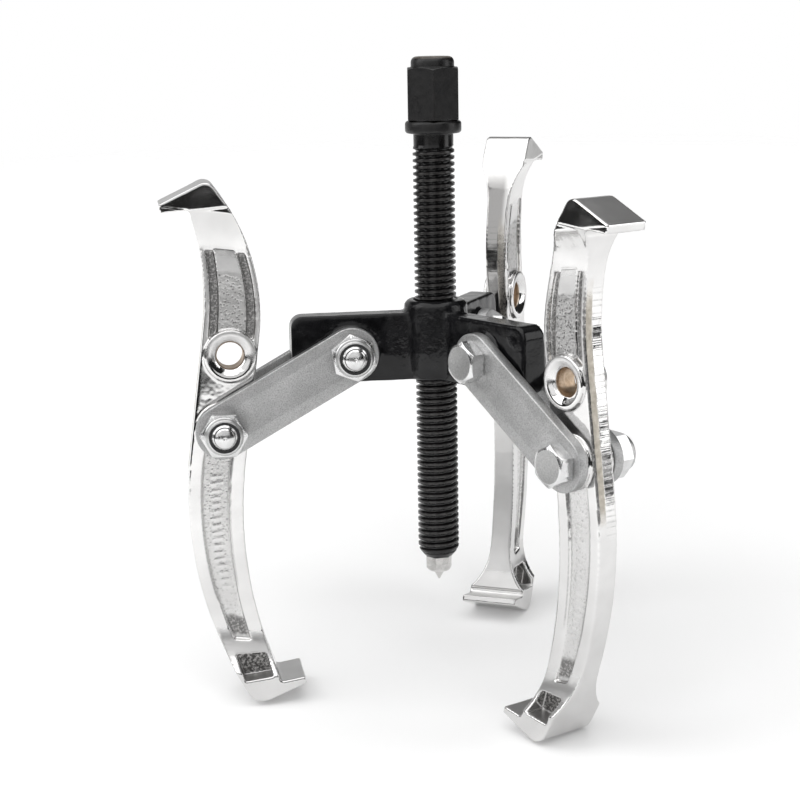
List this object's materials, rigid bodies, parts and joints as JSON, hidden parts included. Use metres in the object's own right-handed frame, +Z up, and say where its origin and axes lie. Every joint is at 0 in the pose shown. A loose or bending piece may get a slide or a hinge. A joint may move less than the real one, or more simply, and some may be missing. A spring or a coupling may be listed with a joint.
{
  "type": "gear puller",
  "caption": "Reversible jaw puller with a forcing screw in a tapped crosshead, strap links and S-shaped jaws that pull a gear off a shaft.",
  "frame": {"origin": "the point of the pressure tip, on the forcing screw's axis", "axes": "+Z up the forcing screw; -X along the crosshead's arm A, with arms B and C every 120 degrees anticlockwise from above"},
  "size_m": [0.167, 0.1931, 0.2492],
  "materials": {
    "crosshead_black": "glossy black finish over a forged surface",
    "screw_black": "black oxide, oiled, satin",
    "tip_steel": "turned and hardened steel",
    "jaw_chrome": "polished chrome over a forging, rough in its recesses",
    "strap_zinc": "satin zinc plate with a fine grain",
    "fastener_zinc": "bright zinc plate",
    "insert_nylon": "black nylon"
  },
  "bodies": {
    "crosshead": {"crosshead": "crosshead_black"},
    "pressure_tip": {"pressure_tip": "tip_steel", "tip_retaining_ring": "tip_steel"},
    "forcing_screw": {"forcing_screw": "screw_black"},
    "links_a": {"strap_a_nut_side": "strap_zinc", "strap_a_head_side": "strap_zinc", "yoke_bolt_a": "fastener_zinc", "yoke_nut_a": "fastener_zinc", "yoke_nut_insert_a": "insert_nylon", "jaw_bolt_a": "fastener_zinc", "jaw_nut_a": "fastener_zinc", "jaw_nut_insert_a": "insert_nylon"},
    "jaw_a": {"jaw_a": "jaw_chrome"},
    "links_b": {"strap_b_nut_side": "strap_zinc", "strap_b_head_side": "strap_zinc", "yoke_bolt_b": "fastener_zinc", "yoke_nut_b": "fastener_zinc", "yoke_nut_insert_b": "insert_nylon", "jaw_bolt_b": "fastener_zinc", "jaw_nut_b": "fastener_zinc", "jaw_nut_insert_b": "insert_nylon"},
    "jaw_b": {"jaw_b": "jaw_chrome"},
    "links_c": {"strap_c_nut_side": "strap_zinc", "strap_c_head_side": "strap_zinc", "yoke_bolt_c": "fastener_zinc", "yoke_nut_c": "fastener_zinc", "yoke_nut_insert_c": "insert_nylon", "jaw_bolt_c": "fastener_zinc", "jaw_nut_c": "fastener_zinc", "jaw_nut_insert_c": "insert_nylon"},
    "jaw_c": {"jaw_c": "jaw_chrome"}
  },
  "joints": [
    {"name": "screw_feed", "type": "slide", "parent": "crosshead", "child": "pressure_tip", "axis": [0, 0, 1], "range_m": [-0.0575, 0.065]},
    {"name": "screw_turn", "type": "hinge", "parent": "pressure_tip", "child": "forcing_screw", "pos_m": [0, 0, 0], "axis": [0, 0, 1], "range_deg": [-8290, 9370]},
    {"name": "link_swing_a", "type": "hinge", "parent": "crosshead", "child": "links_a", "pos_m": [-0.034, 0, 0.093], "axis": [0, -1, 0], "range_deg": [-21, 13]},
    {"name": "jaw_swing_a", "type": "hinge", "parent": "links_a", "child": "jaw_a", "pos_m": [-0.08381, 0, 0.06528], "axis": [0, -1, 0], "range_deg": [-10, 10]},
    {"name": "link_swing_b", "type": "hinge", "parent": "crosshead", "child": "links_b", "pos_m": [0.017, -0.02944, 0.093], "axis": [0.866, 0.5, 0], "range_deg": [-25, 9]},
    {"name": "jaw_swing_b", "type": "hinge", "parent": "links_b", "child": "jaw_b", "pos_m": [0.0409, -0.07085, 0.06196], "axis": [0.866, 0.5, 0], "range_deg": [-10, 10]},
    {"name": "link_swing_c", "type": "hinge", "parent": "crosshead", "child": "links_c", "pos_m": [0.017, 0.02944, 0.093], "axis": [-0.866, 0.5, 0], "range_deg": [-12, 21]},
    {"name": "jaw_swing_c", "type": "hinge", "parent": "links_c", "child": "jaw_c", "pos_m": [0.0438, 0.07586, 0.0736], "axis": [-0.866, 0.5, 0], "range_deg": [-10, 10]}
  ],
  "couplings": [
    {"joint": "screw_turn", "follows": "screw_feed", "rad_per_m": 2513.3}
  ]
}
